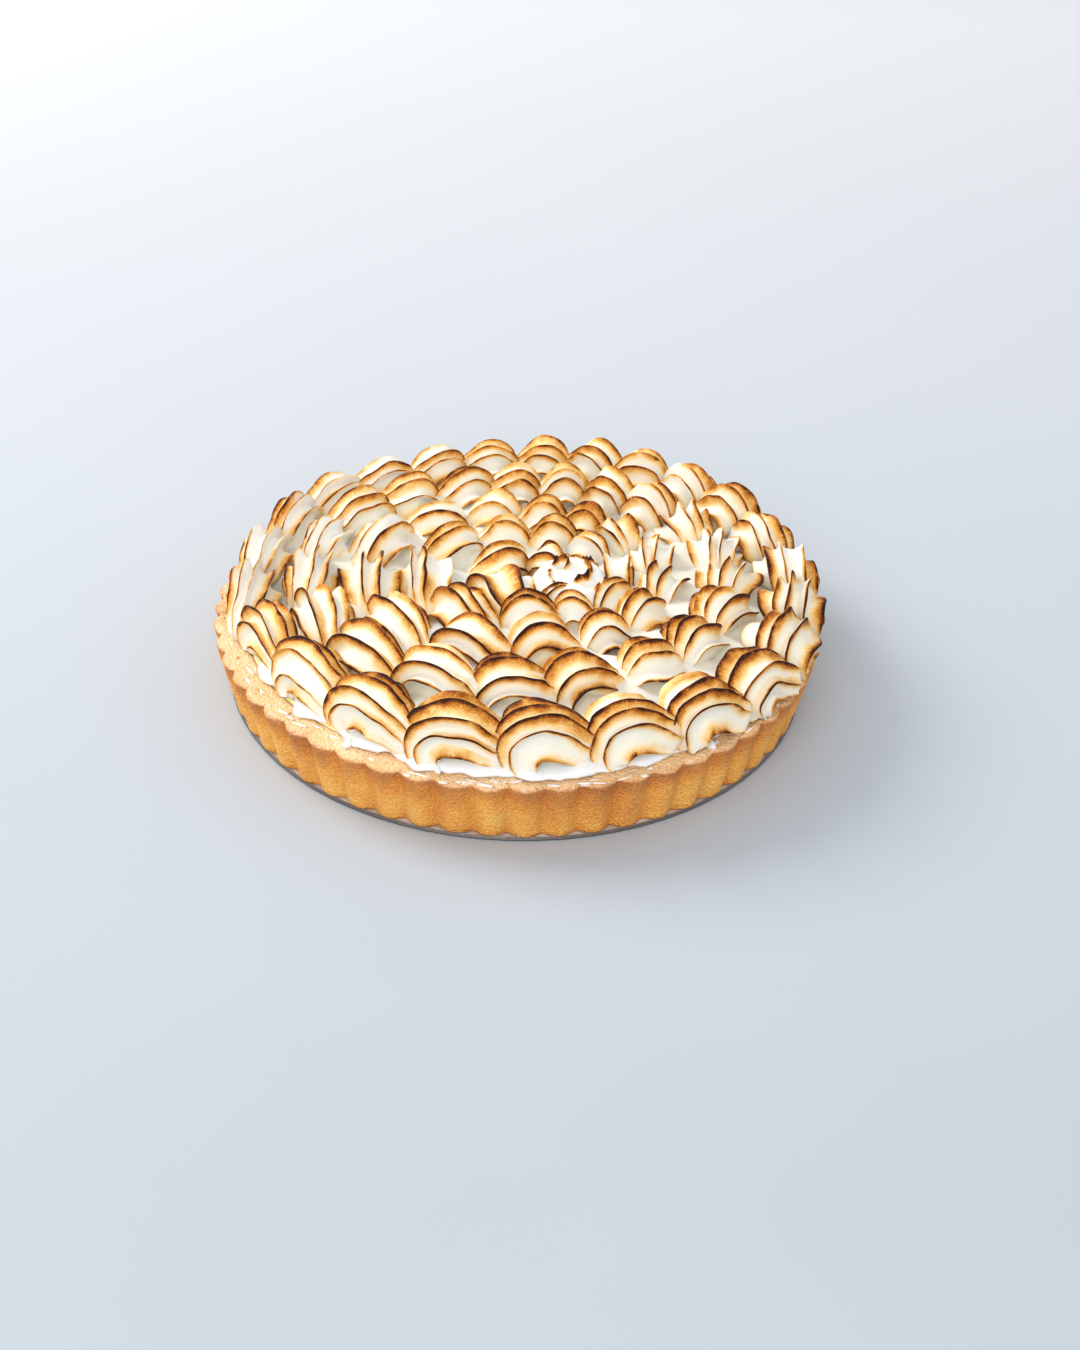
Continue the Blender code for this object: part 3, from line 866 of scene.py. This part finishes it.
for number, (middle, radius_from, radius_to, angle_from, angle_to, edge_height) in enumerate(CURL_EDGES):
    run = np.linspace(0.0, 1.0, CURL_EDGE_STEPS)
    turn = np.radians(angle_from + (angle_to - angle_from) * run)
    shaky = rough([(step * 7.0, number * 3.0, 0.0) for step in run], 1.0, 41)
    reach = radius_from + (radius_to - radius_from) * run + 0.0009 * shaky
    track = np.array(middle) + np.stack([reach * np.cos(turn), reach * np.sin(turn)], axis=1)
    ragged = rough([(step * 15.0, number * 5.0, 0.0) for step in run], 1.0, 42)
    torn = edge_height * np.clip(0.85 + 0.75 * ragged, 0.15, 1.5)
    torn *= np.minimum(1.0, 6.0 * np.minimum(run, 1.0 - run) + 0.15)
    apart = np.linalg.norm(off_curl[:, None, :] - track[None, :, :], axis=2)
    near = apart.argmin(axis=1)
    gap = apart[np.arange(len(near)), near]
    wall = torn[near] * ((1.0 - CURL_FOOT_SHARE) * np.exp(-((gap / CURL_WALL) ** 2.0))
                         + CURL_FOOT_SHARE * np.exp(-((gap / CURL_FOOT) ** 2.0)))
    taller = wall > curl_wall
    curl_edge[taller] = (wall / edge_height)[taller]
    curl_wall = np.maximum(curl_wall, wall)
curl_points[:, 2] += curl_wall
curl_rows = list(curl_points.reshape(CURL_RINGS, CURL_POINTS, 3))
for share in (1.0, 0.5, 0.05):
    curl_rows.append(curl_ring * CURL_REACH * share + [*CURL_SPOT, case_top + 0.0006])
curl_mesh = grid_mesh("torn_curl", curl_rows)
curl_mesh.flip_normals()
curl_luck = rough(curl_points, 260.0, 31)
curl_heat = np.clip((curl_edge - 0.12) / 0.62, 0.0, 1.0) ** 1.1 * (0.78 + 0.8 * curl_luck)
under_count = 3 * CURL_POINTS + 2
measure(curl_mesh, "toasting", np.concatenate([np.clip(curl_heat, 0.0, 1.0), np.zeros(under_count)]))
# The curl's low ground and underside take the cream tint of painted shade.
measure(curl_mesh, "deep", np.concatenate([np.clip(0.5 - 1.2 * curl_edge, 0.0, 1.0), np.ones(under_count)]))
torn_curl = show("torn_curl", curl_mesh, meringue_finish)
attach(torn_curl, "root")


# ---- Smears, drips and crumbs on the rim ----
# Small things that lie on the pastry's rim beside the meringue: thin smears where it was wiped, white drips
# that hang from the feet of the front shells, and crumbs that broke from the case.

SMEARS = 48
SMEAR_ARC = (185.0, 345.0)
SMEAR_OFF_BED = (0.0004, 0.0050)
SMEAR_LONG = (0.0018, 0.0070)
SMEAR_WIDE = (0.0010, 0.0022)
SMEAR_THICK = (0.0003, 0.0006)
DRIPS_UP_TO = 0.02
DRIP_MISSED = 0.25
DRIP_UNDER_BED = (0.0002, 0.0016)
DRIP_LONG = (0.0040, 0.0064)
DRIP_WIDE = (0.0032, 0.0046)
DRIP_TALL = (0.0030, 0.0044)
CRUMBS = 70
CRUMB_SIZE = (0.0004, 0.0012)

rim_chance = np.random.default_rng(19)
case_tree = BVHTree.FromPolygons(
    [tuple(point.co) for point in case_mesh.vertices], [tuple(face.vertices) for face in case_mesh.polygons])


def lump(name, chance, ragged, tip):
    """A small ragged lump about 1 m across, drawn out to a point by tip, with a few dozen faces."""
    rows = []
    for up in (-0.92, -0.5, 0.0, 0.5, 0.92):
        around = np.arange(8) / 8.0 * math.tau
        r = math.sqrt(1.0 - up * up) * (1.0 + ragged * chance.uniform(-1.0, 1.0, 8))
        x = r * np.cos(around)
        y = r * np.sin(around) * (1.0 - 0.3 * tip * (x > 0.4))
        rows.append(np.stack([x * (1.0 + tip * np.maximum(0.0, x)), y, np.full(8, up)], axis=1) * 0.5)
    return grid_mesh(name, rows)


def lump_kinds(name, ragged, tip):
    """A collection with four kinds of lump."""
    group = bpy.data.collections.new(name)
    bpy.context.scene.collection.children.link(group)
    for kind in range(4):
        sample_mesh = lump(f"{name}_{kind}", rim_chance, ragged, tip)
        group.objects.link(bpy.data.objects.new(f"{name}_{kind}", sample_mesh))
    return group


def on_rim(angle, radius, lift):
    """The place on the rim's top at an angle and a radius."""
    x, y = radius * math.cos(angle), radius * math.sin(angle)
    hit = case_tree.ray_cast(Vector((x, y, case_top + 0.02)), Vector((0.0, 0.0, -1.0)))[0]
    return x, y, (hit.z if hit else case_top) + lift


def bed_edge_at(angle):
    """How far the bed reaches at an angle."""
    return bed_reach[int(round(angle / math.tau * BED_STEPS)) % BED_STEPS]


smear_spots, drip_spots, crumb_spots = [], [], []
for _ in range(SMEARS):
    angle = math.radians(rim_chance.uniform(*SMEAR_ARC))
    radius = min(bed_edge_at(angle) + rim_chance.uniform(*SMEAR_OFF_BED), case_rim_radius - 0.0022)
    long = rim_chance.uniform(*SMEAR_LONG)
    smear_spots.append((*on_rim(angle, radius, 0.0001), angle + math.pi / 2 + rim_chance.uniform(-0.3, 0.3),
                        long, rim_chance.uniform(*SMEAR_WIDE), rim_chance.uniform(*SMEAR_THICK),
                        rim_chance.integers(4)))
for spot in outer_spots:
    angle = math.atan2(spot[1], spot[0]) + rim_chance.uniform(-0.01, 0.05)
    if spot[1] > DRIPS_UP_TO or rim_chance.uniform() < DRIP_MISSED:
        continue
    reach = bed_edge_at(angle % math.tau) - rim_chance.uniform(*DRIP_UNDER_BED)
    drip_spots.append((*on_rim(angle, min(reach, case_rim_radius - 0.0036), 0.0013),
                       angle + rim_chance.uniform(-0.7, 0.7), rim_chance.uniform(*DRIP_LONG),
                       rim_chance.uniform(*DRIP_WIDE), rim_chance.uniform(*DRIP_TALL),
                       rim_chance.integers(4)))
for _ in range(CRUMBS):
    angle = rim_chance.uniform(0.0, math.tau)
    radius = rim_chance.uniform(bed_edge_at(angle) + 0.0004, case_rim_radius - 0.0012)
    size = rim_chance.uniform(*CRUMB_SIZE)
    crumb_spots.append((*on_rim(angle, radius, 0.25 * size), rim_chance.uniform(0.0, math.tau),
                        size * 1.3, size, size * 0.8, rim_chance.integers(4)))


def lay_lumps(name, spots, ragged, tip, finish):
    """Lays lumps on their spots as one piece."""
    group = lump_kinds(name + "_kinds", ragged, tip)
    mesh = lay(name, group, np.array(spots, float), finish, 0.0004, 300.0)
    clear(group)
    forget(mesh, "own", "spot")
    measure(mesh, "toasting", np.zeros(len(mesh.vertices)))
    measure(mesh, "deep", np.zeros(len(mesh.vertices)))
    mesh.shade_smooth()
    piece = show(name, mesh, finish)
    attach(piece, "root")


smear_finish, tree, shader = new_finish("wiped_smear")
smear_cloud = blotches(tree, 700.0, 4.0)
smear_colour = ramp(tree, smear_cloud.outputs["Fac"], [(0.35, (0.86, 0.62, 0.44)), (0.6, (0.93, 0.84, 0.76))])
smear_gloss = graded(tree, smear_cloud.outputs["Fac"], (0.3, 0.40), (0.7, 0.60))
feed(tree, shader, smear_colour.outputs["Color"], smear_gloss, smear_cloud.outputs["Fac"], 0.0003)
lay_lumps("rim_smears", smear_spots, 0.45, 0.2, smear_finish)
lay_lumps("foot_drips", drip_spots, 0.08, 0.5, meringue_finish)
crumb_finish, tree, shader = new_finish("pastry_crumbs")
crumb_grain = grained(tree, 1400.0)
crumb_colour = ramp(tree, crumb_grain.outputs["Grain"], [
    (0.3, (0.84, 0.46, 0.14)), (0.7, (0.56, 0.24, 0.07))])
crumb_gloss = graded(tree, crumb_grain.outputs["Grain"], (0.3, 0.65), (0.7, 0.85))
feed(tree, shader, crumb_colour.outputs["Color"], crumb_gloss, crumb_grain.outputs["Height"], 0.0002)
lay_lumps("rim_crumbs", crumb_spots, 0.25, 0.0, crumb_finish)


# ---- The table and the light ----
# A pale painted table, soft daylight from a window at the left and behind, and a pale room all round.

floor_mesh = bpy.data.meshes.new("table_top")
floor_mesh.from_pydata([(-6, -6, 0), (6, -6, 0), (6, 6, 0), (-6, 6, 0)], [], [(0, 1, 2, 3)])
floor_finish, tree, shader = new_finish("pale_painted_table")
paint = blotches(tree, 3.0, 6.0)
floor_colour = ramp(tree, paint.outputs["Fac"], [(0.3, (0.355, 0.39, 0.42)), (0.7, (0.375, 0.41, 0.44))])
floor_where = place(tree, "ShaderNodeTexCoord")
floor_split = place(tree, "ShaderNodeSeparateXYZ", {"Vector": floor_where.outputs["Object"]})
# Painted light: the table grows lighter towards the back, where the window stands.
back_light_ramp = place(tree, "ShaderNodeMapRange", {
    "Value": floor_split.outputs["Y"], "From Min": -0.3, "From Max": 1.0})
floor_base = mixed(tree, back_light_ramp.outputs["Result"], floor_colour.outputs["Color"], (0.59, 0.592, 0.60, 1.0))
tree.links.new(floor_base, shader.inputs["Base Color"])
floor_gloss = graded(tree, paint.outputs["Fac"], (0.3, 0.62), (0.7, 0.74))
tree.links.new(floor_gloss, shader.inputs["Roughness"])
table_top = show("table_top", floor_mesh, floor_finish)

world = bpy.data.worlds.new("pale_room")
bpy.context.scene.world = world
world.use_nodes = True
world.node_tree.nodes["Background"].inputs["Color"].default_value = (0.90, 0.94, 1.0, 1.0)
world.node_tree.nodes["Background"].inputs["Strength"].default_value = 1.02


def soft_light(name, place_at, aim_at, size, power, colour):
    """A large soft lamp that points at a spot."""
    lamp = bpy.data.lights.new(name, "AREA")
    lamp.shape = "DISK"
    lamp.size = size
    lamp.energy = power
    lamp.color = colour
    holder = bpy.data.objects.new(name, lamp)
    bpy.context.scene.collection.objects.link(holder)
    way = Vector(aim_at) - Vector(place_at)
    holder.matrix_world = Matrix.Translation(place_at) @ way.to_track_quat("-Z", "Y").to_matrix().to_4x4()


soft_light("window_left", (-2.0, 1.0, 1.75), (0.0, 0.0, 0.04), 1.6, 64.0, (1.0, 0.98, 0.95))
soft_light("room_front", (-0.3, -1.5, 1.1), (0.0, 0.0, 0.04), 1.4, 17.0, (1.0, 0.98, 0.96))

# The camera stands in front and looks down at 34 degrees, with a lens of 53 mm for a sensor of 36 mm.
CAMERA_ABOVE = 0.5968
CAMERA_AWAY = 0.8863
CAMERA_RIGHT = 0.01069
CAMERA_UP = -0.00454
CAMERA_ROLL = 0.0357
CAMERA_SENSOR = 36.0
CAMERA_LENS = 160.0 / 3.0
cam_up = Vector((0.0, math.sin(CAMERA_ABOVE), math.cos(CAMERA_ABOVE)))
cam_back = Vector((0.0, -math.cos(CAMERA_ABOVE), math.sin(CAMERA_ABOVE)))
cam_right = Vector((1.0, 0.0, 0.0))
camera_data = bpy.data.cameras.new("camera")
camera_data.sensor_width = CAMERA_SENSOR
camera_data.lens = CAMERA_LENS
camera = bpy.data.objects.new("camera", camera_data)
bpy.context.scene.collection.objects.link(camera)
stance = Matrix((cam_right, cam_up, cam_back)).transposed() @ Matrix.Rotation(CAMERA_ROLL, 3, "Z")
spot = CAMERA_AWAY * cam_back + CAMERA_RIGHT * cam_right + CAMERA_UP * cam_up
camera.matrix_world = Matrix.Translation(spot) @ stance.to_4x4()
bpy.context.scene.camera = camera
bpy.context.scene.view_settings.view_transform = "Standard"
